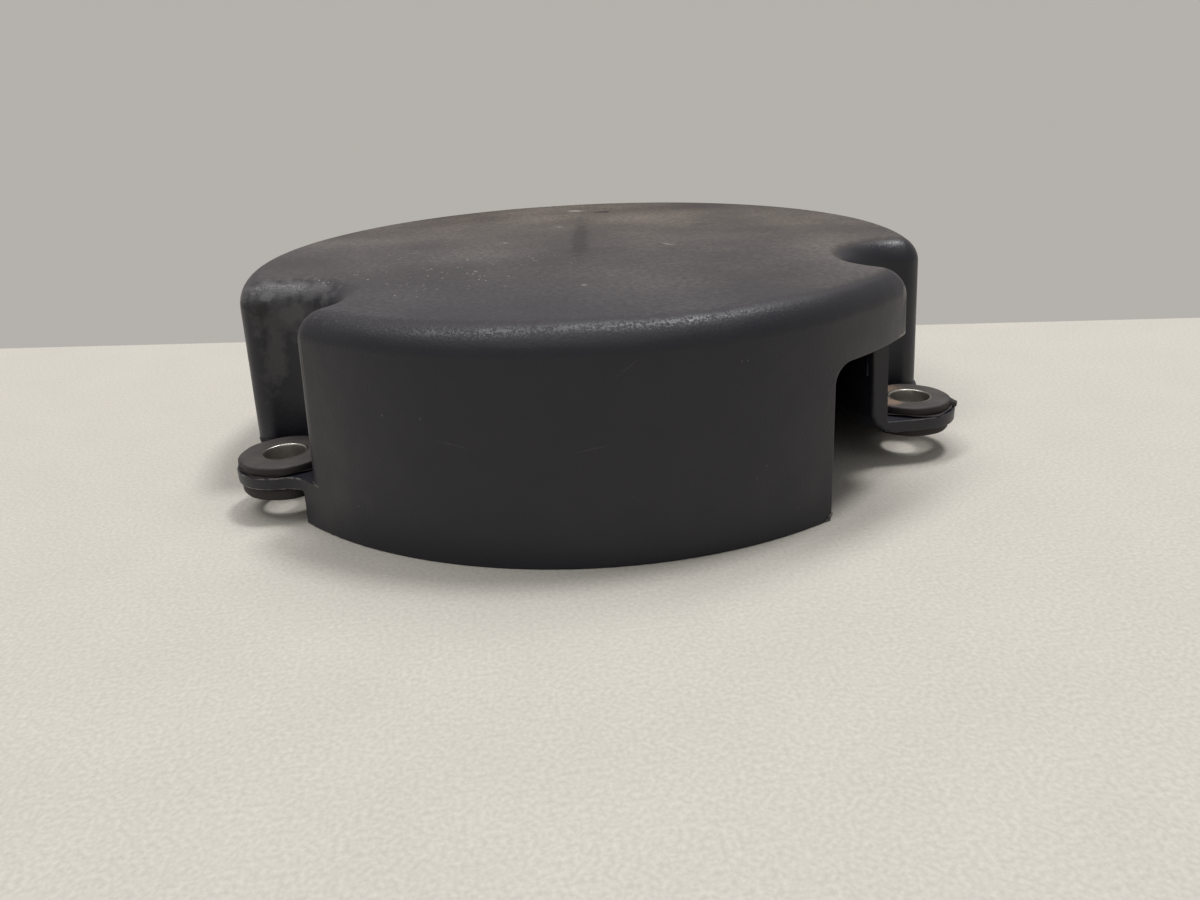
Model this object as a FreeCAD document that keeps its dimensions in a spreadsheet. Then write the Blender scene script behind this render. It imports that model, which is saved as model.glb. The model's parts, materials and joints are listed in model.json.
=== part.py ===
import FreeCAD, Part
import math
import os

import Sketcher

# Driving sizes: alias, value, meaning (millimetres and degrees)
SIZES = [
    ("cover_radius", 85.5, "outer radius of the cover at its open edge"),
    ("cover_height", 47.0, "height from the open edge to the flat top"),
    ("wall", 2.8, "thickness of the wall, the top and the ear plates"),
    ("wall_draft", 2.2, "mould draft of the upright walls"),
    ("rim_round", 6.2, "outer rounding where the top meets the walls"),
    ("mouth_round", 4.5, "outer rounding of the upright corners of a channel mouth"),
    ("core_bevel", 1.0, "bevel inside the cover along its corners"),
    ("shelf_bevel", 3.2, "bevel inside the cover where a channel's wall turns into its floor"),
    ("shelf_slope", 45.0, "slope of that bevel from the upright"),
    ("bolt_inset", 2.5, "distance of a bolt axis inside the open edge of the cover"),
    ("bolt_angle", 61.4, "angle of a bolt axis from the front"),
    ("channel_radius", 14.3, "radius of a bolt channel at its floor"),
    ("shelf_top", 10.4, "level of the top face of an ear plate"),
    ("ear_radius", 10.5, "radius of an ear plate round its bolt axis"),
    ("ear_flare", 7.0, "hollow rounding from an ear plate into the side wall"),
    ("relief_radius", 13.0, "radius of the gap in the wall below an ear plate"),
    ("opening_width", 31.9, "left edge of the belt opening, left of the right bolt axis"),
    ("opening_height", 32.6, "level of the top edge of the belt opening"),
    ("opening_round", 4.0, "rounding of the upper left corner of the belt opening"),
    ("grommet_neck", 6.5, "radius of a grommet where it passes the ear plate"),
    ("grommet_flange", 9.2, "radius of either flange of a grommet"),
    ("grommet_lip", 2.1, "thickness of either flange of a grommet"),
    ("grommet_bevel", 0.5, "bevel of the outer edges of a grommet"),
    ("bolt_bore", 4.5, "radius of the bore in a sleeve"),
    ("sleeve_wall", 0.6, "thickness of a sleeve"),
    ("seat_gap", 0.05, "clearance between seated pieces"),
    ("overrun", 1.0, "how far a cut runs past the face it opens"),
]

ON_GROUND = "0 * sizes.wall"
TOLERANCE = 0.02
CORNER_BAND = 3.0
SIDE_SIGN = {"left": "-1", "right": "1"}
NAMES_OF_SIDES = ("left", "right")

doc = FreeCAD.newDocument("timing_belt_cover")


def make_sheet():
    """Write the driving sizes to a sheet, one alias each."""
    sheet = doc.addObject("Spreadsheet::Sheet", "sizes")
    for row, (alias, value, meaning) in enumerate(SIZES, start=1):
        sheet.set("A%d" % row, meaning)
        sheet.set("B%d" % row, str(value))
        sheet.setAlias("B%d" % row, alias)
    doc.recompute()
    return sheet


def size(alias):
    """Current value of a driving size as a plain number."""
    return float(SHEET.get(alias))


def origin_plane(body, role):
    """The body's own origin plane with this role."""
    return [item for item in body.Origin.OriginFeatures if item.Role == role][0]


def new_body(label):
    """An empty body named and labelled alike."""
    body = doc.addObject("PartDesign::Body", label)
    body.Label = label
    return body


def circle_sketch(body, name, radius, level=ON_GROUND, across=None, along=None):
    """A circle on the ground plane of the body, lifted to a level and moved off the centre."""
    sketch = body.newObject("Sketcher::SketchObject", name)
    sketch.AttachmentSupport = [(origin_plane(body, "XY_Plane"), "")]
    sketch.MapMode = "FlatFace"
    sketch.setExpression("AttachmentOffset.Base.z", level)
    sketch.addGeometry(Part.Circle(FreeCAD.Vector(), FreeCAD.Vector(0, 0, 1), 1.0), False)
    sketch.addConstraint(Sketcher.Constraint("Radius", 0, 1.0))
    sketch.setExpression("Constraints[0]", radius)
    if across is None:
        sketch.addConstraint(Sketcher.Constraint("Coincident", 0, 3, -1, 1))
        return sketch
    sketch.addConstraint(Sketcher.Constraint("DistanceX", -1, 1, 0, 3, 1.0))
    sketch.addConstraint(Sketcher.Constraint("DistanceY", -1, 1, 0, 3, 1.0))
    sketch.setExpression("Constraints[1]", across)
    sketch.setExpression("Constraints[2]", along)
    return sketch


def pad(body, name, sketch, length, taper=None):
    """Material raised from a sketch, narrowing upwards by the taper."""
    feature = body.newObject("PartDesign::Pad", name)
    feature.Profile = sketch
    feature.setExpression("Length", length)
    if taper:
        feature.setExpression("TaperAngle", taper)
    doc.recompute()
    return feature


def pocket(body, name, sketch, length, taper=None):
    """Material cut away upwards from a sketch, widening by the taper."""
    feature = body.newObject("PartDesign::Pocket", name)
    feature.Profile = sketch
    feature.Reversed = True
    feature.setExpression("Length", length)
    if taper:
        feature.setExpression("TaperAngle", taper)
    doc.recompute()
    return feature


def mirror(body, name, feature):
    """The same feature on the other side of the middle plane."""
    copy = body.newObject("PartDesign::Mirrored", name)
    copy.Originals = [feature]
    copy.MirrorPlane = (origin_plane(body, "YZ_Plane"), [""])
    body.Tip = copy
    doc.recompute()
    return copy


def edges_where(feature, wanted):
    """Names of the edges of a feature whose box and middle point pass the test."""
    names = []
    for number, edge in enumerate(feature.Shape.Edges, start=1):
        middle = edge.valueAt((edge.FirstParameter + edge.LastParameter) / 2.0)
        if wanted(edge.BoundBox, middle):
            names.append("Edge%d" % number)
    return names


def fillet(body, name, feature, edges, radius):
    """A rounding along the named edges."""
    rounding = body.newObject("PartDesign::Fillet", name)
    rounding.Base = (feature, edges)
    rounding.setExpression("Radius", radius)
    body.Tip = rounding
    doc.recompute()
    return rounding


def bevel(body, name, feature, edges, width):
    """A flat bevel along the named edges."""
    slope = body.newObject("PartDesign::Chamfer", name)
    slope.Base = (feature, edges)
    slope.setExpression("Size", width)
    body.Tip = slope
    doc.recompute()
    return slope


def bolt_across(side):
    """Formula of a bolt axis across the cover."""
    return SIDE_SIGN[side] + " * (sizes.cover_radius - sizes.bolt_inset) * sin(sizes.bolt_angle)"


def bolt_along():
    """Formula of a bolt axis along the cover."""
    return "-1 * (sizes.cover_radius - sizes.bolt_inset) * cos(sizes.bolt_angle)"


def bolt_spot():
    """Place of the right bolt axis as plain numbers."""
    reach = size("cover_radius") - size("bolt_inset")
    angle = math.radians(size("bolt_angle"))
    return reach * math.sin(angle), -reach * math.cos(angle)


def draw_cap(body, radius, height):
    """Round cap of the cover, narrowing upwards."""
    disc = circle_sketch(body, body.Name + "_disc", radius)
    return pad(body, body.Name + "_cap", disc, height, "-1 * sizes.wall_draft")


def cut_channels(body, radius, shelf, height):
    """Bolt channels on both sides, from a shelf level up through the top."""
    line = circle_sketch(body, body.Name + "_channel_line", radius, shelf, bolt_across("left"), bolt_along())
    depth = height + " - (" + shelf + ") + sizes.overrun"
    left = pocket(body, body.Name + "_channel", line, depth, "sizes.wall_draft")
    return mirror(body, body.Name + "_channels", left)


def mouth_edges(feature, cap_radius, shelf_level, cap_height):
    """Names of the upright corner edges of the channel mouths."""
    return edges_where(feature, lambda box, middle: (
        box.ZMin > shelf_level - TOLERANCE and box.ZLength > (cap_height - shelf_level) / 2.0
        and math.hypot(middle.x, middle.y) > cap_radius - CORNER_BAND))


def rim_edges(feature, cap_height):
    """Names of the edges of the flat top."""
    return edges_where(feature, lambda box, middle: box.ZMin > cap_height - TOLERANCE)


def make_core():
    """The hollow of the cover: the outer form set in by the wall thickness."""
    body = new_body("cover_core")
    top = "(sizes.cover_height - sizes.wall)"
    shelf = "(sizes.shelf_top - sizes.wall)"
    draw_cap(body, "sizes.cover_radius - sizes.wall", top)
    channels = cut_channels(body, "sizes.channel_radius + sizes.wall", shelf + " + sizes.shelf_bevel", top)
    inner_height = size("cover_height") - size("wall")
    mouth = mouth_edges(channels, size("cover_radius") - size("wall"), size("shelf_top") - size("wall"),
                        inner_height)
    corners = bevel(body, "cover_core_corners", channels, mouth, "sizes.core_bevel")
    bevel(body, "cover_core_rim", corners, rim_edges(corners, inner_height), "sizes.core_bevel")
    line = circle_sketch(body, "cover_core_turn_line",
                         "sizes.channel_radius + sizes.wall - sizes.shelf_bevel * tan(sizes.shelf_slope)",
                         shelf, bolt_across("left"), bolt_along())
    turn = pocket(body, "cover_core_turn", line, "sizes.shelf_bevel", "sizes.shelf_slope")
    mirror(body, "cover_core_turns", turn)
    return body


def add_ear_plates(body):
    """Ear plates on both sides, flared into the side wall."""
    level = "sizes.shelf_top - sizes.wall"
    line = circle_sketch(body, "ear_line", "sizes.ear_radius", level, bolt_across("left"), bolt_along())
    left = pad(body, "ear_plate", line, "sizes.wall")
    both = mirror(body, "ear_plates", left)
    low = size("shelf_top") - size("wall")
    high = size("shelf_top")
    joints = edges_where(both, lambda box, middle: (
        abs(box.ZMin - low) < TOLERANCE and abs(box.ZMax - high) < TOLERANCE
        and math.hypot(middle.x, middle.y) < size("cover_radius")))
    return fillet(body, "ear_flares", both, joints, "sizes.ear_flare")


def cut_relief(body):
    """Gap in the side wall below both ear plates."""
    line = circle_sketch(body, "relief_line", "sizes.relief_radius", "-1 * sizes.overrun",
                         bolt_across("left"), bolt_along())
    left = pocket(body, "relief", line, "sizes.shelf_top - sizes.wall + sizes.overrun")
    return mirror(body, "reliefs", left)


def opening_sketch(body):
    """Outline of the belt opening seen from the front, its upper left corner rounded."""
    left = bolt_spot()[0] - size("opening_width")
    right = bolt_spot()[0] + size("channel_radius")
    low = -size("overrun")
    high = size("opening_height")
    turn = size("opening_round")
    sketch = body.newObject("Sketcher::SketchObject", "opening_line")
    sketch.AttachmentSupport = [(origin_plane(body, "XZ_Plane"), "")]
    sketch.MapMode = "FlatFace"
    sketch.setExpression("AttachmentOffset.Base.z", "sizes.ear_radius - (" + bolt_along() + ")")
    point = FreeCAD.Vector
    sketch.addGeometry(Part.LineSegment(point(left, low, 0), point(left, high - turn, 0)), False)
    arc = Part.Circle(point(left + turn, high - turn, 0), point(0, 0, 1), turn)
    sketch.addGeometry(Part.ArcOfCircle(arc, math.pi / 2.0, math.pi), False)
    sketch.addGeometry(Part.LineSegment(point(left + turn, high, 0), point(right, high, 0)), False)
    sketch.addGeometry(Part.LineSegment(point(right, high, 0), point(right, low, 0)), False)
    sketch.addGeometry(Part.LineSegment(point(right, low, 0), point(left, low, 0)), False)
    rules = [("Tangent", 0, 2, 1, 2), ("Tangent", 1, 1, 2, 1), ("Coincident", 2, 2, 3, 1),
             ("Coincident", 3, 2, 4, 1), ("Coincident", 4, 2, 0, 1), ("Vertical", 0),
             ("Horizontal", 2), ("Vertical", 3), ("Horizontal", 4)]
    for rule in rules:
        sketch.addConstraint(Sketcher.Constraint(*rule))
    driven = [("DistanceX", 0, 1, left, bolt_across("right") + " - sizes.opening_width"),
              ("DistanceX", 2, 2, right, bolt_across("right") + " + sizes.channel_radius"),
              ("DistanceY", 0, 1, low, "-1 * sizes.overrun"),
              ("DistanceY", 2, 1, high, "sizes.opening_height")]
    for kind, line, end, value, formula in driven:
        index = sketch.addConstraint(Sketcher.Constraint(kind, -1, 1, line, end, value))
        sketch.setExpression("Constraints[%d]" % index, formula)
    index = sketch.addConstraint(Sketcher.Constraint("Radius", 1, turn))
    sketch.setExpression("Constraints[%d]" % index, "sizes.opening_round")
    return sketch


def cut_opening(body):
    """Belt opening in the side wall, back to the front edge of the ear plate."""
    opening = body.newObject("PartDesign::Pocket", "opening")
    opening.Profile = opening_sketch(body)
    opening.Reversed = True
    opening.setExpression("Length", "sizes.cover_radius")
    body.Tip = opening
    doc.recompute()
    return opening


def drill_seats(body):
    """Holes of the grommets through both ear plates."""
    level = "sizes.shelf_top - sizes.wall - sizes.overrun"
    line = circle_sketch(body, "seat_line", "sizes.grommet_neck + sizes.seat_gap", level,
                         bolt_across("left"), bolt_along())
    left = pocket(body, "seat", line, "sizes.wall + 2 * sizes.overrun")
    return mirror(body, "seats", left)


def make_shell(core):
    """The moulded cover."""
    body = new_body("cover_shell")
    draw_cap(body, "sizes.cover_radius", "sizes.cover_height")
    channels = cut_channels(body, "sizes.channel_radius", "sizes.shelf_top", "sizes.cover_height")
    mouth = mouth_edges(channels, size("cover_radius"), size("shelf_top"), size("cover_height"))
    corners = fillet(body, "cover_shell_corners", channels, mouth, "sizes.mouth_round")
    fillet(body, "cover_shell_rim", corners, rim_edges(corners, size("cover_height")), "sizes.rim_round")
    add_ear_plates(body)
    hollow = body.newObject("PartDesign::Boolean", "hollow")
    hollow.Type = "Cut"
    hollow.setObjects([core])
    body.Tip = hollow
    doc.recompute()
    cut_relief(body)
    cut_opening(body)
    drill_seats(body)
    return body


def place_on_bolt_axis(body, side):
    """Put a seated piece on its bolt axis."""
    body.setExpression("Placement.Base.x", bolt_across(side))
    body.setExpression("Placement.Base.y", bolt_along())


def make_grommet(side):
    """Rubber grommet: flange above the ear plate, neck through it, foot below it."""
    body = new_body(side + "_grommet")
    plate_low = "(sizes.shelf_top - sizes.wall - sizes.seat_gap)"
    plate_high = "(sizes.shelf_top + sizes.seat_gap)"
    base = plate_low + " - sizes.grommet_lip"
    foot = circle_sketch(body, body.Name + "_foot_line", "sizes.grommet_flange", base)
    pad(body, body.Name + "_foot", foot, "sizes.grommet_lip")
    neck = circle_sketch(body, body.Name + "_neck_line", "sizes.grommet_neck", base)
    pad(body, body.Name + "_neck", neck, plate_high + " - (" + base + ")")
    flange = circle_sketch(body, body.Name + "_flange_line", "sizes.grommet_flange", plate_high)
    pad(body, body.Name + "_flange", flange, "sizes.grommet_lip")
    hole = circle_sketch(body, body.Name + "_hole_line",
                         "sizes.bolt_bore + sizes.sleeve_wall + sizes.seat_gap",
                         base + " - sizes.overrun")
    drilled = pocket(body, body.Name + "_hole", hole,
                     plate_high + " - (" + base + ") + sizes.grommet_lip + 2 * sizes.overrun")
    rims = edges_where(drilled, lambda box, middle: (
        box.XLength > 2.0 * size("grommet_neck") + size("grommet_lip") and box.ZLength < TOLERANCE
        and (box.ZMin > size("shelf_top") + size("wall") / 2.0
             or box.ZMin < size("shelf_top") - 1.5 * size("wall"))))
    bevel(body, body.Name + "_edges", drilled, rims, "sizes.grommet_bevel")
    place_on_bolt_axis(body, side)
    return body


def make_sleeve(side):
    """Steel sleeve lining a grommet, flush with both its faces."""
    body = new_body(side + "_sleeve")
    base = "(sizes.shelf_top - sizes.wall - sizes.seat_gap - sizes.grommet_lip)"
    length = "(sizes.wall + 2 * sizes.grommet_lip + 2 * sizes.seat_gap)"
    outside = circle_sketch(body, body.Name + "_tube_line", "sizes.bolt_bore + sizes.sleeve_wall", base)
    pad(body, body.Name + "_tube", outside, length)
    inside = circle_sketch(body, body.Name + "_bore_line", "sizes.bolt_bore", base + " - sizes.overrun")
    pocket(body, body.Name + "_bore", inside, length + " + 2 * sizes.overrun")
    place_on_bolt_axis(body, side)
    return body


def check(item):
    """Stop when an object or its shape is not sound."""
    bad = [word for word in item.State if word in ("Invalid", "Error")]
    if bad:
        raise RuntimeError(item.Name + " is " + ", ".join(bad))
    if hasattr(item, "Shape") and not item.TypeId.startswith("App::"):
        if item.Shape.isNull():
            raise RuntimeError(item.Name + " is empty")
        if not item.Shape.isValid():
            raise RuntimeError(item.Name + " has an unsound shape")


SHEET = make_sheet()
pieces = [make_shell(make_core())]
for name_of_side in NAMES_OF_SIDES:
    pieces.append(make_grommet(name_of_side))
    pieces.append(make_sleeve(name_of_side))
doc.recompute()
for thing in doc.Objects:
    check(thing)
os.makedirs("parts", exist_ok=True)
for piece in pieces:
    piece.Shape.exportStep("parts/" + piece.Label + ".step")
    box = piece.Shape.BoundBox
    print(piece.Label, "solids", len(piece.Shape.Solids), "volume", round(piece.Shape.Volume, 1),
          "x", round(box.XMin, 2), round(box.XMax, 2), "y", round(box.YMin, 2), round(box.YMax, 2),
          "z", round(box.ZMin, 2), round(box.ZMax, 2))
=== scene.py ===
"""Dressed model of a moulded timing belt cover with rubber grommets and steel sleeves."""

import json
import logging
import math
from dataclasses import dataclass, field
from enum import Enum

import bmesh
import bpy
from mathutils import Matrix, Vector

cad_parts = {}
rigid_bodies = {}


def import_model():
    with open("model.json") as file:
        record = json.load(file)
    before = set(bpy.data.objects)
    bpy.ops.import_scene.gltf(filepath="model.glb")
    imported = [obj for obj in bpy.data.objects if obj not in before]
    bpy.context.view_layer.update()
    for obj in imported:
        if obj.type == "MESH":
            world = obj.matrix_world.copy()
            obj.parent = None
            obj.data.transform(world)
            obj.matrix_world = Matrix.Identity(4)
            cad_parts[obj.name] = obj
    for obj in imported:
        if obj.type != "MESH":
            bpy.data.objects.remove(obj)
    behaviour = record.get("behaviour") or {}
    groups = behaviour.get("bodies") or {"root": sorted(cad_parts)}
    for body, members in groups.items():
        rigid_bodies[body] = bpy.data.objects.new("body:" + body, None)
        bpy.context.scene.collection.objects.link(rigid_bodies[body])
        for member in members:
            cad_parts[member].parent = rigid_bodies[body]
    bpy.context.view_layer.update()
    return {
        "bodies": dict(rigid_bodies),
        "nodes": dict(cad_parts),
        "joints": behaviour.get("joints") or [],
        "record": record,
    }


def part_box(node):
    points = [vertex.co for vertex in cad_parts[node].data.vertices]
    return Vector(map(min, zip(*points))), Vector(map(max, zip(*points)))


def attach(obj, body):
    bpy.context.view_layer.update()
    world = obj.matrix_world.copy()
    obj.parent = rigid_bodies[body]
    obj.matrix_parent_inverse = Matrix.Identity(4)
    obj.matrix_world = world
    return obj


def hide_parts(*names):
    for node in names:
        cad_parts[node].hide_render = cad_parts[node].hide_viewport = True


LOG = logging.getLogger("belt_cover")
MM = 0.001
PHOTO_SIZE = (1200, 900)
# Face layer of pale edges: wear on the burr, and a painted highlight broken up like worn nicks along the ear
# plates' edges.
EDGE_WEAR_AND_HIGHLIGHT = "edge_wear_and_highlight"
MERGE = 0.002 * MM
RING_STEPS = 96

Value = bpy.types.NodeSocket | float


class Side(Enum):
    """The two ears of the cover, seen from the front."""

    LEFT = -1
    RIGHT = 1

    @property
    def word(self) -> str:
        """Word that starts the names of this side's pieces."""
        return self.name.lower()


def linear(code: str) -> tuple[float, float, float, float]:
    """Turn an sRGB hex colour into linear light.

    Args:
        code: Six hex digits, red, green and blue.

    Returns:
        Linear red, green, blue and a full alpha.
    """
    parts = [int(code[at:at + 2], 16) / 255.0 for at in (0, 2, 4)]
    light = [p / 12.92 if p <= 0.04045 else ((p + 0.055) / 1.055) ** 2.4 for p in parts]
    return (light[0], light[1], light[2], 1.0)


def put(tree: bpy.types.NodeTree, kind: str, links: dict | None = None,
        **settings: object) -> bpy.types.Node:
    """Add a node with its settings, values and links.

    Args:
        tree: Node tree that gets the node.
        kind: Node type without the ShaderNode prefix.
        links: Input name or number to an output socket or a plain value.
        **settings: Attributes of the node.

    Returns:
        The new node.
    """
    node = tree.nodes.new("ShaderNode" + kind)
    for name, value in settings.items():
        setattr(node, name, value)
    for key, value in (links or {}).items():
        if isinstance(value, bpy.types.NodeSocket):
            tree.links.new(value, node.inputs[key])
        else:
            node.inputs[key].default_value = value
    return node


def new_material(name: str) -> tuple[bpy.types.Material, bpy.types.NodeTree]:
    """Make an empty node material.

    Args:
        name: Name of the material.

    Returns:
        The material and its node tree.
    """
    material = bpy.data.materials.new(name)
    material.use_nodes = True
    material.node_tree.nodes.clear()
    return material, material.node_tree


def seat(name: str, work: bmesh.types.BMesh, material: bpy.types.Material,
         sharp_over: float = 35.0) -> bpy.types.Object:
    """Turn a finished bmesh into a smooth-shaded object at the origin.

    Args:
        name: Name of the object.
        work: Finished mesh, freed here.
        material: Its only material.
        sharp_over: Edges that turn by more degrees than this stay sharp.

    Returns:
        The linked object.
    """
    limit = math.radians(sharp_over)
    for face in work.faces:
        face.smooth = True
    for edge in work.edges:
        edge.smooth = len(edge.link_faces) == 2 and edge.calc_face_angle(0.0) < limit
    mesh = bpy.data.meshes.new(name)
    work.to_mesh(mesh)
    work.free()
    mesh.materials.append(material)
    thing = bpy.data.objects.new(name, mesh)
    bpy.context.scene.collection.objects.link(thing)
    return thing


def sharp_edges(work: bmesh.types.BMesh, over: float) -> list[bmesh.types.BMEdge]:
    """Find the edges that turn sharply.

    Args:
        work: Mesh to search.
        over: Least turn in degrees.

    Returns:
        The edges.
    """
    limit = math.radians(over)
    return [e for e in work.edges if len(e.link_faces) == 2 and e.calc_face_angle(0.0) > limit]


def round_edges(work: bmesh.types.BMesh, edges: list[bmesh.types.BMEdge], reach: float, segments: int,
                clamp: bool = False) -> list[bmesh.types.BMFace]:
    """Round some edges.

    Args:
        work: Mesh that holds them.
        edges: Edges to round.
        reach: How far the rounding reaches from each edge.
        segments: Faces across the rounding.
        clamp: Whether a rounding stops where it would meet another.

    Returns:
        The faces of the rounding.
    """
    return bmesh.ops.bevel(work, geom=edges, offset=reach, offset_type="OFFSET", affect="EDGES",
                           segments=segments, profile=0.5, material=-1, clamp_overlap=clamp)["faces"]


def ring(outline: list[tuple[float, float]]) -> bmesh.types.BMesh:
    """Turn a closed outline round the upright axis.

    Args:
        outline: Radius and height of each corner.

    Returns:
        The closed ring.
    """
    work = bmesh.new()
    points = [work.verts.new((radius, 0.0, height)) for radius, height in outline]
    for at, point in enumerate(points):
        work.edges.new((point, points[(at + 1) % len(points)]))
    bmesh.ops.spin(work, geom=work.verts[:] + work.edges[:], cent=(0, 0, 0), axis=(0, 0, 1),
                   angle=2 * math.pi, steps=RING_STEPS, use_merge=True)
    bmesh.ops.remove_doubles(work, verts=work.verts, dist=MERGE)
    return work


def off_axis(vert: bmesh.types.BMVert) -> float:
    """Measure how far a point of a ring lies from the ring's axis.

    Args:
        vert: The point.

    Returns:
        Its radius.
    """
    return vert.co.to_2d().length


@dataclass(frozen=True)
class Zone:
    """A box in object millimetres."""

    low: tuple[float, float, float]
    high: tuple[float, float, float]

    def holds(self, point: Vector) -> bool:
        """Tell whether a point lies inside.

        Args:
            point: Point in metres.

        Returns:
            True inside the box.
        """
        return all(low * MM < at < high * MM for low, at, high in zip(self.low, point, self.high))


def calc(tree: bpy.types.NodeTree, operation: str, first: Value, second: Value = 0.0) -> bpy.types.NodeSocket:
    """Add one sum, product or comparison of two values.

    Args:
        tree: Node tree that gets the node.
        operation: Name of the operation.
        first: Socket or number.
        second: Socket or number.

    Returns:
        The result's socket.
    """
    return put(tree, "Math", {0: first, 1: second}, operation=operation).outputs["Value"]


def ramp(tree: bpy.types.NodeTree, value: Value, low: float, high: float, start: float = 0.0,
         end: float = 1.0) -> bpy.types.NodeSocket:
    """Map a value from one range to another, held at both ends.

    Args:
        tree: Node tree that gets the node.
        value: Socket to map.
        low: Value that gives start.
        high: Value that gives end.
        start: Result at low.
        end: Result at high.

    Returns:
        The result's socket.
    """
    return put(tree, "MapRange", {"Value": value, "From Min": low, "From Max": high, "To Min": start,
                                  "To Max": end}).outputs["Result"]


def noise(tree: bpy.types.NodeTree, place: bpy.types.NodeSocket, size_mm: float,
          detail: float = 3.0) -> bpy.types.NodeSocket:
    """Add a noise pattern.

    Args:
        tree: Node tree that gets the node.
        place: Object coordinates.
        size_mm: Size of one lump.
        detail: Octaves of finer lumps.

    Returns:
        The pattern's value, about 0.5 on average.
    """
    return put(tree, "TexNoise", {"Vector": place, "Scale": 1.0 / (size_mm * MM),
                                  "Detail": detail}).outputs["Fac"]


def mottle(tree: bpy.types.NodeTree, place: bpy.types.NodeSocket, size_mm: float, detail: float,
           low: float, high: float) -> bpy.types.NodeSocket:
    """Add a noise pattern spread over a range of values.

    Args:
        tree: Node tree that gets the nodes.
        place: Object coordinates.
        size_mm: Size of one lump.
        detail: Octaves of finer lumps.
        low: Value of the pattern's low parts.
        high: Value of the pattern's high parts.

    Returns:
        The pattern's value.
    """
    return ramp(tree, noise(tree, place, size_mm, detail), 0.3, 0.7, low, high)


def blend(tree: bpy.types.NodeTree, share: Value, under: bpy.types.NodeSocket | tuple,
          over: bpy.types.NodeSocket | tuple) -> bpy.types.NodeSocket:
    """Lay one colour over another.

    Args:
        tree: Node tree that gets the node.
        share: How much of the upper colour shows.
        under: Lower colour, a socket or linear values.
        over: Upper colour, a socket or linear values.

    Returns:
        The mixed colour.
    """
    node = put(tree, "Mix", {"Factor": share}, data_type="RGBA")
    for slot, value in ((6, under), (7, over)):
        if isinstance(value, bpy.types.NodeSocket):
            tree.links.new(value, node.inputs[slot])
        else:
            node.inputs[slot].default_value = value
    return node.outputs[2]


@dataclass(frozen=True)
class Mark:
    """A soft-edged oval of wear or dirt, in object millimetres, with the edge frayed by noise."""

    centre: tuple[float, float, float]
    half: tuple[float, float, float]
    turn: float = 0.0
    share: float = 0.5
    lean: float = 0.0
    fray: tuple[float, float] = (-0.35, 0.45)
    outer: float = 1.15
    core: float = 0.55

    def mask(self, tree: bpy.types.NodeTree, place: bpy.types.NodeSocket,
             ragged: bpy.types.NodeSocket) -> bpy.types.NodeSocket:
        """Add the mark's mask.

        Args:
            tree: Node tree that gets the nodes.
            place: Object coordinates.
            ragged: Noise that frays the edge.

        Returns:
            How strongly the mark covers a point.
        """
        local = put(tree, "Mapping", {"Vector": place, "Location": [c * MM for c in self.centre],
                                      "Rotation": (0.0, math.radians(self.lean), math.radians(self.turn)),
                                      "Scale": [h * MM for h in self.half]}, vector_type="TEXTURE")
        reach = put(tree, "VectorMath", {0: local.outputs["Vector"]}, operation="LENGTH").outputs["Value"]
        frayed = calc(tree, "ADD", reach, ramp(tree, ragged, 0.3, 0.7, *self.fray))
        return ramp(tree, frayed, self.outer, self.core, 0.0, self.share)


def strongest(tree: bpy.types.NodeTree, marks: tuple[Mark, ...], place: bpy.types.NodeSocket,
              ragged: bpy.types.NodeSocket) -> bpy.types.NodeSocket:
    """Join the masks of several marks.

    Args:
        tree: Node tree that gets the nodes.
        marks: The marks.
        place: Object coordinates.
        ragged: Noise that frays their edges.

    Returns:
        The strongest mask at each point.
    """
    result = marks[0].mask(tree, place, ragged)
    for mark in marks[1:]:
        result = calc(tree, "MAXIMUM", result, mark.mask(tree, place, ragged))
    return result


# Pale specks and dabs on the top, the nicked corner of the belt opening, and faint scratches on the wall.
PALE_MARKS = (
    Mark((-2.8, 31.2, 47.0), (1.1, 0.8, 2.0), 20.0, 0.55),
    Mark((-19.1, 9.6, 47.0), (0.8, 0.6, 2.0), 0.0, 0.5),
    Mark((-5.0, -50.1, 47.0), (0.7, 0.5, 2.0), 0.0, 0.6),
    Mark((5.4, 62.6, 47.0), (3.2, 1.5, 2.0), -27.0, 0.6),
    Mark((20.9, -8.6, 47.0), (0.9, 2.2, 2.0), 30.0, 0.3),
    Mark((62.2, -56.2, 44.4), (0.5, 4.0, 4.0), -35.0, 0.4),
    Mark((62.6, -56.4, 32.7), (3.2, 2.6, 0.7), 45.0, 0.5),
    Mark((-33.8, -77.5, 24.9), (3.6, 6.0, 0.14), 0.0, 0.04, 12.0),
    Mark((-9.1, -84.1, 24.1), (4.2, 6.0, 0.14), 0.0, 0.04, -10.0),
    Mark((-2.1, -84.0, 38.6), (2.6, 6.0, 0.14), 0.0, 0.05, -35.0),
    Mark((39.5, -74.7, 26.1), (0.14, 6.0, 3.4), 0.0, 0.04, 14.0),
)
# Chalky dust rubbed over the mouth of the left channel and down its wall.
SMEARS = (
    Mark((-69.5, -26.0, 45.0), (13.5, 7.5, 2.8), -8.0, 0.2),
    Mark((-71.5, -25.0, 40.5), (8.5, 4.5, 6.5), 0.0, 0.13),
    Mark((-74.2, -24.4, 44.4), (3.0, 2.8, 2.0), 0.0, 0.3),
    Mark((-67.0, -25.2, 45.8), (3.8, 2.8, 1.7), 0.0, 0.3),
    Mark((-69.0, -24.9, 40.0), (3.6, 2.4, 3.0), 0.0, 0.2),
    Mark((-74.8, -24.9, 30.0), (3.0, 2.6, 9.0), 0.0, 0.15, 11.0),
)
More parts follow.
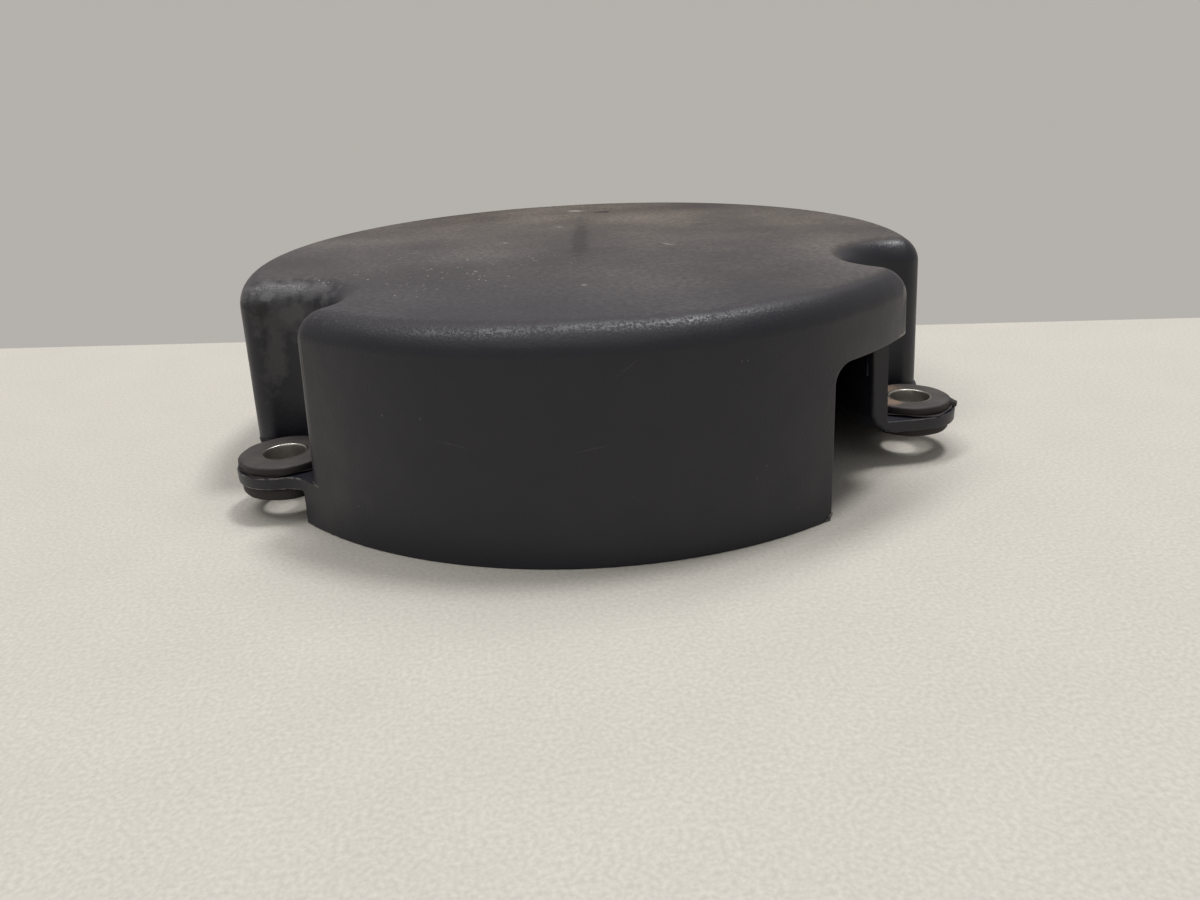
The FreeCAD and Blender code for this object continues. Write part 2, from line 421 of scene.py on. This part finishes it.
# Places where the dust is wiped off: a dab at the back, a long streak, two dabs, the channel's corner.
DARK_MARKS = (
    Mark((12.8, 56.5, 47.0), (3.0, 1.6, 2.0), -26.0, 0.8),
    Mark((1.0, 10.0, 47.0), (2.6, 34.0, 2.0), -7.0, 0.42),
    Mark((19.3, -8.2, 47.0), (1.0, 1.7, 2.0), 30.0, 0.5),
    Mark((36.8, 19.0, 47.0), (4.5, 2.6, 2.0), 15.0, 0.3),
    Mark((-76.3, -24.7, 41.0), (2.4, 3.0, 2.8), 0.0, 0.95),
)
# Front left of the top, where fine grit lies.
GRITTY = Mark((-34.0, -22.0, 47.0), (36.0, 30.0, 3.0), -20.0, 1.0)
# Rust that has washed off the bolt on to the right grommet.
RUST_MARKS = (
    Mark((68.2, -33.6, 12.5), (5.6, 3.4, 1.5), 15.0, 0.6),
    Mark((67.4, -43.0, 12.5), (2.8, 2.4, 1.5), 20.0, 0.6),
    Mark((66.6, -39.2, 12.5), (1.8, 4.0, 1.5), 0.0, 0.6),
)


@dataclass(frozen=True)
class MouldedPlastic:
    """Black talc-filled polypropylene, injection moulded: dark, half matt, with a fine eroded grain."""

    base: str = "161620"
    warm_dust: str = "8d8379"
    cool_dust: str = "7b7777"
    pale: str = "a8a29c"
    bloom: str = "a19f9f"
    bare: str = "1f1d20"
    roughness: float = 0.4
    dusty_roughness: float = 0.6
    # The eroded grain is finer than this; it is drawn coarser so that it shows.
    grain_mm: float = 0.5
    grain_depth: float = 0.08 * MM
    wave_mm: float = 14.0
    wave_depth: float = 0.6 * MM
    top_rise: tuple[float, float] = (45.8 * MM, 46.9 * MM)
    # Heights of the painted highlight on the rim rounding, pale fine grain laid in with the dust.
    rim_rise: tuple[float, float] = (43.0 * MM, 45.5 * MM)
    rear_rise: tuple[float, float] = (30.0 * MM, 80.0 * MM)

    def dust(self, tree: bpy.types.NodeTree,
             place: bpy.types.NodeSocket) -> tuple[bpy.types.NodeSocket, bpy.types.NodeSocket]:
        """Work out where dust lies, where a painted highlight of pale grain lies on the rim rounding, and the
        dust's colour.

        Args:
            tree: Node tree that gets the nodes.
            place: Object coordinates.

        Returns:
            The share of dust and of painted rim highlight, and the dust's colour.
        """
        axes = put(tree, "SeparateXYZ", {"Vector": place})
        height = axes.outputs["Z"]
        cloud = mottle(tree, place, 32.0, 8.0, 0.22, 0.52)
        speckle = mottle(tree, place, 1.1, 4.0, 0.7, 1.3)
        back = calc(tree, "ADD", calc(tree, "MULTIPLY", axes.outputs["X"], 0.5), axes.outputs["Y"])
        flat = calc(tree, "MULTIPLY", ramp(tree, height, *self.top_rise),
                    calc(tree, "MULTIPLY", cloud, speckle))
        # Less dust towards the front left of the top.
        flat = calc(tree, "MULTIPLY", flat, ramp(tree, back, -85 * MM, 0.0, 0.55, 1.0))
        # Painted highlight on the rim rounding: pale fine grain, full up to the middle and fading out towards
        # the right.
        rim_sheen_grain = ramp(tree, noise(tree, place, 0.6, 2.0), 0.45, 0.65, 0.0, 0.32)
        rim_sheen_grain = calc(tree, "MULTIPLY", rim_sheen_grain, ramp(tree, axes.outputs["X"], 5 * MM, 45 * MM, 1.0, 0.0))
        rim = calc(tree, "MULTIPLY", ramp(tree, height, *self.rim_rise), rim_sheen_grain)
        # Dust tint cooler towards the front left, warmer towards the back right.
        tint = blend(tree, ramp(tree, back, -75 * MM, 45 * MM), linear(self.cool_dust),
                     linear(self.warm_dust))
        return calc(tree, "MAXIMUM", flat, rim), tint

    def dots(self, tree: bpy.types.NodeTree, place: bpy.types.NodeSocket, cell_mm: float, outer: float,
             core: float) -> bpy.types.NodeSocket:
        """Scatter small soft-edged dots.

        Args:
            tree: Node tree that gets the nodes.
            place: Object coordinates.
            cell_mm: Space that each dot has.
            outer: Dot's radius as a share of its space.
            core: Radius of the dot's full strength.

        Returns:
            How strongly the dots cover a point.
        """
        cell = put(tree, "TexVoronoi", {"Vector": place, "Scale": 1.0 / (cell_mm * MM)})
        return ramp(tree, cell.outputs["Distance"], outer, core)

    def grit(self, tree: bpy.types.NodeTree,
             place: bpy.types.NodeSocket) -> tuple[bpy.types.NodeSocket, bpy.types.NodeSocket]:
        """Scatter faint specks all over and fine pale grit on the front left of the top.

        Args:
            tree: Node tree that gets the nodes.
            place: Object coordinates.

        Returns:
            How strongly the specks and the grit cover a point.
        """
        specks = calc(tree, "MULTIPLY", self.dots(tree, place, 5.0, 0.055, 0.03),
                      ramp(tree, noise(tree, place, 9.0), 0.48, 0.56, 0.0, 0.14))
        patch = calc(tree, "MULTIPLY", GRITTY.mask(tree, place, noise(tree, place, 12.0, 3.0)),
                     ramp(tree, noise(tree, place, 5.0, 3.0), 0.48, 0.54))
        return specks, calc(tree, "MULTIPLY", self.dots(tree, place, 1.7, 0.16, 0.08), patch)

    def wear(self, tree: bpy.types.NodeTree, place: bpy.types.NodeSocket) -> bpy.types.NodeSocket:
        """Make the marked edges pale: wear on the burr, painted highlight with worn nicks along the ear
        plates' edges.

        Args:
            tree: Node tree that gets the nodes.
            place: Object coordinates.

        Returns:
            How strongly the pale wear and painted highlight cover a point.
        """
        worn = put(tree, "Attribute", attribute_name=EDGE_WEAR_AND_HIGHLIGHT).outputs["Fac"]
        broken = ramp(tree, noise(tree, place, 1.8, 3.0), 0.42, 0.66, 0.03, 0.75)
        return calc(tree, "MULTIPLY", worn, broken)

    def colour(self, tree: bpy.types.NodeTree, place: bpy.types.NodeSocket, share: bpy.types.NodeSocket,
               tint: bpy.types.NodeSocket) -> bpy.types.NodeSocket:
        """Lay dust, the painted rim highlight, smears, marks, grit, and pale edges of wear and painted
        highlight over the black plastic.

        Args:
            tree: Node tree that gets the nodes.
            place: Object coordinates.
            share: Where the dust and the painted rim highlight lie.
            tint: The dust's colour.

        Returns:
            The surface's colour.
        """
        ragged = noise(tree, place, 1.6, 3.0)
        smeared = strongest(tree, SMEARS, place, noise(tree, place, 2.6, 5.0))
        colour = blend(tree, share, linear(self.base), tint)
        colour = blend(tree, smeared, colour, linear(self.bloom))
        colour = blend(tree, strongest(tree, DARK_MARKS, place, ragged), colour, linear(self.bare))
        specks, grit = self.grit(tree, place)
        marked = strongest(tree, PALE_MARKS, place, ragged)
        for cover in (marked, specks, grit, self.wear(tree, place)):
            colour = blend(tree, cover, colour, linear(self.pale))
        return colour

    def relief(self, tree: bpy.types.NodeTree, place: bpy.types.NodeSocket) -> bpy.types.NodeSocket:
        """Add the moulded grain and the slow waves of a thin moulded wall.

        Args:
            tree: Node tree that gets the nodes.
            place: Object coordinates.

        Returns:
            The surface's normal.
        """
        grain = put(tree, "Bump", {"Height": noise(tree, place, self.grain_mm, 2.0), "Strength": 0.7,
                                   "Distance": self.grain_depth})
        waves = put(tree, "Bump", {"Height": noise(tree, place, self.wave_mm, 2.0), "Strength": 0.5,
                                   "Distance": self.wave_depth, "Normal": grain.outputs["Normal"]})
        return waves.outputs["Normal"]

    def make(self) -> bpy.types.Material:
        """Build the material.

        Returns:
            The plastic with its grain, dust, specks, scuffs, and painted highlights on the rim rounding and
            along the ear plates' edges.
        """
        material, tree = new_material("moulded_black_polypropylene")
        place = put(tree, "TexCoord").outputs["Object"]
        share, tint = self.dust(tree, place)
        rear = put(tree, "SeparateXYZ", {"Vector": place}).outputs["Y"]
        gloss = calc(tree, "ADD", ramp(tree, share, 0.0, 0.35, self.roughness, self.dusty_roughness),
                     mottle(tree, place, 8.0, 4.0, -0.05, 0.06))
        gloss = calc(tree, "ADD", gloss, ramp(tree, rear, *self.rear_rise, 0.0, 0.3))
        shine = calc(tree, "MULTIPLY", ramp(tree, share, 0.0, 0.2, 0.5, 0.1),
                     ramp(tree, rear, *self.rear_rise, 1.0, 0.3))
        shader = put(tree, "BsdfPrincipled", {"Base Color": self.colour(tree, place, share, tint),
                                              "Normal": self.relief(tree, place), "Roughness": gloss,
                                              "IOR": 1.49, "Specular IOR Level": shine})
        put(tree, "OutputMaterial", {"Surface": shader.outputs["BSDF"]})
        return material


@dataclass(frozen=True)
class GrommetRubber:
    """Moulded nitrile rubber: brown-black, dull, with a bloom of dust and a trace of rust by the bolt."""

    base: str = "262222"
    dust: str = "8a8079"
    rust: str = "967d68"
    roughness: float = 0.66
    lump_depth: float = 0.5 * MM
    grain_depth: float = 0.08 * MM
    face_rise: tuple[float, float] = (12.0 * MM, 12.5 * MM)

    def make(self) -> bpy.types.Material:
        """Build the material.

        Returns:
            The rubber.
        """
        material, tree = new_material("moulded_nitrile_rubber")
        place = put(tree, "TexCoord").outputs["Object"]
        cloud = noise(tree, place, 4.0, 5.0)
        fine = noise(tree, place, 0.5, 3.0)
        height = put(tree, "SeparateXYZ", {"Vector": place}).outputs["Z"]
        share = calc(tree, "MULTIPLY", ramp(tree, height, *self.face_rise),
                     ramp(tree, cloud, 0.3, 0.7, 0.03, 0.14))
        colour = blend(tree, share, linear(self.base), linear(self.dust))
        colour = blend(tree, strongest(tree, RUST_MARKS, place, fine), colour, linear(self.rust))
        bump = put(tree, "Bump", {"Height": cloud, "Strength": 0.5, "Distance": self.lump_depth})
        bump = put(tree, "Bump", {"Height": fine, "Strength": 0.4, "Distance": self.grain_depth,
                                  "Normal": bump.outputs["Normal"]})
        shader = put(tree, "BsdfPrincipled", {"Base Color": colour, "Normal": bump.outputs["Normal"],
                                              "Roughness": self.roughness, "IOR": 1.52,
                                              "Specular IOR Level": 0.4})
        put(tree, "OutputMaterial", {"Surface": shader.outputs["BSDF"]})
        return material


@dataclass(frozen=True)
class SleeveSteel:
    """Drawn mild steel tube: bright and faintly streaked inside, dulled and spotted on its rim."""

    base: str = "b4b1ad"
    tarnish: str = "6f675c"
    rim_rise: tuple[float, float] = (12.45 * MM, 12.52 * MM)

    def make(self) -> bpy.types.Material:
        """Build the material.

        Returns:
            The steel.
        """
        material, tree = new_material("drawn_mild_steel")
        place = put(tree, "TexCoord").outputs["Object"]
        spots = noise(tree, place, 3.0, 2.0)
        height = put(tree, "SeparateXYZ", {"Vector": place}).outputs["Z"]
        dull = calc(tree, "MAXIMUM", ramp(tree, spots, 0.45, 0.72, 0.0, 0.35),
                    ramp(tree, height, *self.rim_rise, 0.0, 0.8))
        colour = blend(tree, dull, linear(self.base), linear(self.tarnish))
        shader = put(tree, "BsdfPrincipled", {"Base Color": colour, "Metallic": 1.0,
                                              "Roughness": ramp(tree, spots, 0.35, 0.7, 0.32, 0.46)})
        put(tree, "OutputMaterial", {"Surface": shader.outputs["BSDF"]})
        return material


@dataclass
class CoverShell:
    """The moulded cover: the CAD form with its edges eased and a torn burr at the belt opening."""

    node: str = "cover_shell"
    edge_break: float = 0.3 * MM
    cut_round: float = 0.8 * MM
    turn_round: float = 1.4 * MM
    corner_round: float = 1.8 * MM
    shortest_edge: float = 0.2 * MM
    turn_zone: Zone = Zone((50.0, -50.1, 7.0), (90.0, -40.0, 12.0))
    cut_zone: Zone = Zone((50.0, -50.33, -1.0), (90.0, -50.13, 50.0))
    corner_zone: Zone = Zone((40.5, -76.0, -1.0), (41.5, -70.0, 0.1))
    ear_zone: Zone = Zone((60.0, -90.0, -1.0), (90.0, -44.0, 11.0))
    ear_middle: float = 9.0 * MM
    # Pale edges of the ear plates: painted highlight, broken up like worn nicks.
    right_wear_and_highlight: float = 0.12
    upper_wear_and_highlight: float = 0.55
    lower_wear_and_highlight: float = 1.0
    burr_wear: float = 0.7
    burr_depth: float = 1.2 * MM
    burr_tip: tuple = ((39.3, -76.0, 0.2), (40.5, -75.4, 0.1), (40.7, -75.3, 0.6), (41.0, -75.1, 0.9),
                       (41.2, -75.0, 1.5), (40.4, -75.3, 1.4), (39.8, -75.7, 1.0))
    finish: MouldedPlastic = field(default_factory=MouldedPlastic)

    def is_turn(self, edge: bmesh.types.BMEdge) -> bool:
        """Tell whether an edge is the lower turn of the right channel cup where the belt opening cuts it.

        Args:
            edge: Edge of the cover.

        Returns:
            True where the cup's wall or floor meets the slope between them.
        """
        slopes = [-0.8 < face.normal.z < -0.6 for face in edge.link_faces]
        near = self.turn_zone.holds((edge.verts[0].co + edge.verts[1].co) / 2.0)
        return near and any(slopes) and not all(slopes)

    def is_cut(self, edge: bmesh.types.BMEdge) -> bool:
        """Tell whether an edge is the inner outline of the face that the belt opening leaves by the ear.

        Args:
            edge: Edge of the cover.

        Returns:
            True on the side towards the belt.
        """
        cut = any(face.normal.y < -0.99 for face in edge.link_faces)
        inner = any(face.normal.x < -0.3 for face in edge.link_faces)
        return cut and inner and self.cut_zone.holds((edge.verts[0].co + edge.verts[1].co) / 2.0)

    def wear_and_highlight_at(self, spot: Vector) -> float:
        """Look up how pale an edge is: painted highlight with worn nicks on the ear plates.

        Args:
            spot: Middle of a face on the edge.

        Returns:
            Its share of painted highlight and wear, none away from the ears.
        """
        if not self.ear_zone.holds(Vector((abs(spot.x), spot.y, spot.z))):
            return 0.0
        if spot.x > 0.0:
            return self.right_wear_and_highlight
        return self.upper_wear_and_highlight if spot.z > self.ear_middle else self.lower_wear_and_highlight

    def ease(self, work: bmesh.types.BMesh) -> None:
        """Round the sharp edges and mark those of the ear plates pale, a painted highlight with worn nicks.

        Args:
            work: Mesh of the cover.
        """
        worn = work.faces.layers.float.new(EDGE_WEAR_AND_HIGHLIGHT)
        turns = [edge for edge in sharp_edges(work, 35) if self.is_turn(edge)]
        round_edges(work, turns, self.turn_round, 4)
        corner = [edge for edge in sharp_edges(work, 60)
                  if all(self.corner_zone.holds(vert.co) for vert in edge.verts)]
        round_edges(work, corner, self.corner_round, 3)
        cuts = [edge for edge in sharp_edges(work, 35) if self.is_cut(edge)]
        round_edges(work, cuts, self.cut_round, 3)
        ends = dict.fromkeys(vert for edge in sharp_edges(work, 40) for vert in edge.verts)
        bmesh.ops.remove_doubles(work, verts=list(ends), dist=self.shortest_edge)
        for face in round_edges(work, sharp_edges(work, 40), self.edge_break, 2):
            face[worn] = self.wear_and_highlight_at(face.calc_center_median())

    def add_burr(self, work: bmesh.types.BMesh) -> None:
        """Torn tip of plastic at the lower left corner of the belt opening.

        Args:
            work: Mesh of the cover.
        """
        front = [work.verts.new(Vector(corner) * MM) for corner in self.burr_tip]
        grown = bmesh.ops.extrude_face_region(work, geom=[work.faces.new(front)])["geom"]
        back = [item for item in grown if isinstance(item, bmesh.types.BMVert)]
        bmesh.ops.translate(work, verts=back, vec=(0.0, self.burr_depth, 0.0))
        sides = list(dict.fromkeys(face for vert in front + back for face in vert.link_faces))
        bmesh.ops.recalc_face_normals(work, faces=sides)
        for face in sides:
            face[work.faces.layers.float[EDGE_WEAR_AND_HIGHLIGHT]] = self.burr_wear

    def build(self, frame: dict) -> bpy.types.Object:
        """Copy the CAD form, join its triangles and ease its sharp edges.

        Args:
            frame: The loaded frame.

        Returns:
            The shell piece.
        """
        work = bmesh.new()
        work.from_mesh(frame["nodes"][self.node].data)
        bmesh.ops.remove_doubles(work, verts=work.verts, dist=MERGE)
        bmesh.ops.dissolve_limit(work, angle_limit=math.radians(0.4), verts=work.verts, edges=work.edges)
        self.ease(work)
        self.add_burr(work)
        thing = seat("moulded_cover", work, self.finish.make())
        shade = thing.modifiers.new("even_shading", "WEIGHTED_NORMAL")
        shade.keep_sharp = True
        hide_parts(self.node)
        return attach(thing, "root")


@dataclass
class Grommet:
    """One rubber grommet with rounded flanges, each a little out of true, and its moulding flash."""

    side: Side
    bore: float = 5.15 * MM
    neck: float = 6.5 * MM
    flange: float = 9.2 * MM
    lip: float = 2.1 * MM
    foot_drop: float = 0.0
    rim_round: float = 0.55 * MM
    fin_reach: float = 0.25 * MM
    fin_thick: float = 0.14 * MM
    fin_root: float = 0.5 * MM
    nib_drop: float = 1.5 * MM
    nib_root: float = 1.7 * MM
    nib_tip: float = 0.9 * MM
    nib_length: float = 1.9 * MM
    nib_out: float = 0.6 * MM

    def wave(self, vert: bmesh.types.BMVert, lobes: int, start: float) -> float:
        """Height of a wave that runs round the grommet.

        Args:
            vert: Point of the grommet, still on the upright axis.
            lobes: Waves in one turn.
            start: Angle where it starts.

        Returns:
            A value from -1 to 1.
        """
        angle = math.atan2(vert.co.y, vert.co.x)
        return math.sin(lobes * angle + start + 1.7 * self.side.value)

    def push(self, vert: bmesh.types.BMVert, out: float, up: float = 0.0) -> None:
        """Move a point away from the axis.

        Args:
            vert: Point of the grommet, still on the upright axis.
            out: Distance outwards.
            up: Distance upwards.
        """
        angle = math.atan2(vert.co.y, vert.co.x)
        vert.co += Vector((out * math.cos(angle), out * math.sin(angle), up))

    def spool(self, low: float, high: float) -> bmesh.types.BMesh:
        """Turn the neck with its two flanges, round their rims and swell them a little out of true.

        Args:
            low: Height of the foot.
            high: Height of the upper face.

        Returns:
            The spool.
        """
        bottom = low - self.foot_drop
        work = ring([(self.bore, bottom), (self.flange, bottom), (self.flange, low + self.lip),
                     (self.neck, low + self.lip), (self.neck, high - self.lip),
                     (self.flange, high - self.lip), (self.flange, high), (self.bore, high)])
        rims = [edge for edge in sharp_edges(work, 60) if off_axis(edge.verts[0]) > 1.2 * self.neck]
        round_edges(work, rims, self.rim_round, 4, clamp=True)
        for vert in work.verts:
            if off_axis(vert) > self.flange - 0.8 * MM:
                self.push(vert, (0.1 * self.wave(vert, 3, 0.9) + 0.06 * self.wave(vert, 8, 2.1)) * MM)
        return work

    def flash(self, level: float) -> bmesh.types.BMesh:
        """Thin uneven fin squeezed out between the upper flange and the ear plate.

        Args:
            level: Height of the flange's lower face.

        Returns:
            The fin.
        """
        root = self.neck + self.fin_root
        work = ring([(root, level), (self.flange, level), (self.flange, level + self.fin_thick),
                     (root, level + self.fin_thick)])
        for vert in work.verts:
            if off_axis(vert) > self.flange - 0.1 * MM:
                ripple = (0.2 * self.wave(vert, 5, 0.4) + 0.16 * self.wave(vert, 11, 1.3)) * MM
                rise = (0.2 + 0.2 * self.wave(vert, 4, 2.0)) * MM
                self.push(vert, max(self.fin_reach + ripple, 0.0), rise)
        return work

    def add_nib(self, work: bmesh.types.BMesh, level: float) -> None:
        """Torn tip of flash on the flange's edge.

        Args:
            work: Mesh of the grommet, still on the upright axis.
            level: Height of the nib's root.
        """
        tip = bmesh.ops.create_cone(work, cap_ends=True, segments=10, radius1=self.nib_root,
                                    radius2=self.nib_tip, depth=self.nib_length)["verts"]
        bmesh.ops.scale(work, verts=tip, vec=(0.75, 1.0, 1.0))
        bmesh.ops.rotate(work, verts=tip, cent=(0, 0, 0), matrix=Matrix.Rotation(math.radians(100), 3, "Y"))
        bmesh.ops.translate(work, verts=tip, vec=(self.flange + self.nib_out, 0.0, level))
        bmesh.ops.rotate(work, verts=tip, cent=(0, 0, 0), matrix=Matrix.Rotation(math.radians(-22), 3, "Z"))

    def build(self, material: bpy.types.Material) -> bpy.types.Object:
        """Make the grommet and put it on its bolt's axis.

        Args:
            material: The rubber, shared by both grommets.

        Returns:
            The grommet piece.
        """
        node = self.side.word + "_grommet"
        low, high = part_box(node)
        centre = (low + high) / 2.0
        work = self.spool(low.z, high.z)
        fin = self.flash(high.z - self.lip)
        extra = bpy.data.meshes.new("flash")
        fin.to_mesh(extra)
        fin.free()
        work.from_mesh(extra)
        bpy.data.meshes.remove(extra)
        if self.side is Side.RIGHT:
            self.add_nib(work, high.z - self.nib_drop)
        bmesh.ops.recalc_face_normals(work, faces=work.faces)
        bmesh.ops.translate(work, verts=work.verts, vec=(centre.x, centre.y, 0.0))
        thing = seat(self.side.word + "_rubber_grommet", work, material)
        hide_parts(node)
        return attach(thing, "root")


# The left grommet has swollen and sagged; more flash stands out of the right one.
GROMMET_LOOKS = {Side.LEFT: {"flange": 9.9 * MM, "foot_drop": 0.6 * MM}, Side.RIGHT: {"fin_reach": 0.75 * MM}}


@dataclass
class Sleeve:
    """One steel sleeve inside a grommet."""

    side: Side
    inside: float = 4.5 * MM
    outside: float = 5.1 * MM
    rim_round: float = 0.35 * MM

    def build(self, material: bpy.types.Material) -> bpy.types.Object:
        """Turn the tube's profile round the bolt axis.

        Args:
            material: The steel, shared by both sleeves.

        Returns:
            The sleeve piece.
        """
        node = self.side.word + "_sleeve"
        low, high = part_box(node)
        centre = (low + high) / 2.0
        work = ring([(self.inside, low.z), (self.outside, low.z), (self.outside, high.z),
                     (self.inside, high.z)])
        half_way = (self.inside + self.outside) / 2.0
        rims = [edge for edge in sharp_edges(work, 60) if off_axis(edge.verts[0]) < half_way]
        round_edges(work, rims, self.rim_round, 3, clamp=True)
        bmesh.ops.recalc_face_normals(work, faces=work.faces)
        bmesh.ops.translate(work, verts=work.verts, vec=(centre.x, centre.y, 0.0))
        thing = seat(self.side.word + "_steel_sleeve", work, material)
        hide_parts(node)
        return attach(thing, "root")


@dataclass(frozen=True)
class Lamp:
    """One soft lamp pointed at the object."""

    name: str
    place: tuple[float, float, float]
    width: float
    depth: float
    power: float
    shape: str = "RECTANGLE"

    def build(self) -> None:
        """Hang the lamp."""
        data = bpy.data.lights.new(self.name, "AREA")
        data.shape = self.shape
        data.size = self.width
        data.size_y = self.depth
        data.energy = self.power
        lamp = bpy.data.objects.new(self.name, data)
        lamp.location = self.place
        lamp.rotation_euler = (-Vector(self.place)).to_track_quat("-Z", "Y").to_euler()
        bpy.context.scene.collection.objects.link(lamp)


LAMPS = (
    Lamp("key", (0.7, 0.32, 2.4), 0.5, 0.5, 29.0, "DISK"),
    Lamp("ceiling_strip", (-0.3, 0.5, 2.3), 3.0, 0.5, 42.0),
    Lamp("ceiling", (0.0, -1.0, 2.2), 3.0, 1.6, 5.0),
    Lamp("front_fill", (-0.5, -1.3, 1.5), 2.2, 1.2, 3.2),
)


@dataclass
class Studio:
    """Pale floor, plain backdrop, soft lamps and the camera."""

    floor_colour: str = "c1bcb3"
    backdrop_colour: str = "b5b1ac"
    ambient: float = 0.18
    floor_half: tuple[float, float] = (2.5, 1.5)
    floor_turn: float = -11.7
    floor_edge: float = 89.6 * MM
    pitch: float = 22.027
    roll: float = 2.819
    turn: float = 6.5
    focal_px: float = 928.606
    eye: tuple[float, float, float] = (-24.98 * MM, -239.58 * MM, 87.21 * MM)

    def camera(self) -> None:
        """Set the camera at the photograph's place and angle."""
        data = bpy.data.cameras.new("camera")
        data.sensor_width = 36.0
        data.lens = data.sensor_width * self.focal_px / PHOTO_SIZE[0]
        data.clip_start = 0.005
        eye = bpy.data.objects.new("camera", data)
        bpy.context.scene.collection.objects.link(eye)
        eye.matrix_world = (Matrix.Translation(self.eye)
                            @ Matrix.Rotation(math.radians(-self.turn), 4, "Z")
                            @ Matrix.Rotation(math.radians(90.0 - self.pitch), 4, "X")
                            @ Matrix.Rotation(math.radians(-self.roll), 4, "Z"))
        bpy.context.scene.camera = eye

    def floor(self) -> None:
        """Lay the floor up to the line where the backdrop starts."""
        material, tree = new_material("pale_floor")
        place = put(tree, "TexCoord").outputs["Object"]
        speckle = calc(tree, "MULTIPLY", mottle(tree, place, 0.8, 3.0, 0.91, 1.09),
                       mottle(tree, place, 18.0, 4.0, 0.985, 1.015))
        colour = put(tree, "Mix", {"Factor": 1.0}, data_type="RGBA", blend_type="MULTIPLY")
        colour.inputs[6].default_value = linear(self.floor_colour)
        tree.links.new(speckle, colour.inputs[7])
        shader = put(tree, "BsdfPrincipled", {"Base Color": colour.outputs[2], "Roughness": 0.7,
                                              "Specular IOR Level": 0.2})
        put(tree, "OutputMaterial", {"Surface": shader.outputs["BSDF"]})
        work = bmesh.new()
        bmesh.ops.create_grid(work, x_segments=1, y_segments=1, size=1.0)
        bmesh.ops.scale(work, verts=work.verts, vec=(*self.floor_half, 1.0))
        bmesh.ops.translate(work, verts=work.verts, vec=(0.0, -self.floor_half[1], 0.0))
        bmesh.ops.rotate(work, verts=work.verts, cent=(0, 0, 0),
                         matrix=Matrix.Rotation(math.radians(self.floor_turn), 3, "Z"))
        bmesh.ops.translate(work, verts=work.verts, vec=(0.0, self.floor_edge, 0.0))
        seat("floor", work, material)

    def surround(self) -> None:
        """Give plain light from all round and a plain backdrop."""
        world = bpy.data.worlds.new("surround")
        world.use_nodes = True
        tree = world.node_tree
        tree.nodes.clear()
        path = put(tree, "LightPath")
        seen = calc(tree, "MAXIMUM", path.outputs["Is Camera Ray"], path.outputs["Is Glossy Ray"])
        seen = calc(tree, "MAXIMUM", seen, path.outputs["Is Transmission Ray"])
        ambient = put(tree, "Background", {"Color": (0.98, 0.99, 1.0, 1.0), "Strength": self.ambient})
        plain = put(tree, "Background", {"Color": linear(self.backdrop_colour), "Strength": 1.0})
        mixed = put(tree, "MixShader", {0: seen, 1: ambient.outputs["Background"],
                                        2: plain.outputs["Background"]})
        put(tree, "OutputWorld", {"Surface": mixed.outputs["Shader"]})
        bpy.context.scene.world = world

    def build(self) -> None:
        """Set up the camera, the floor and the light."""
        self.camera()
        self.floor()
        self.surround()
        for lamp in LAMPS:
            lamp.build()
        bpy.context.scene.view_settings.view_transform = "Standard"


def main() -> None:
    """Build the studio and the pieces in order."""
    logging.basicConfig(level=logging.INFO, format="%(name)s: %(message)s")
    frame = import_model()
    Studio().build()
    LOG.info("studio ready")
    pieces = [CoverShell().build(frame)]
    rubber = GrommetRubber().make()
    steel = SleeveSteel().make()
    for side in Side:
        pieces.append(Grommet(side, **GROMMET_LOOKS[side]).build(rubber))
        pieces.append(Sleeve(side).build(steel))
    for piece in pieces:
        LOG.info("built %s, %d faces", piece.name, len(piece.data.polygons))


if __name__ == "__main__":
    main()
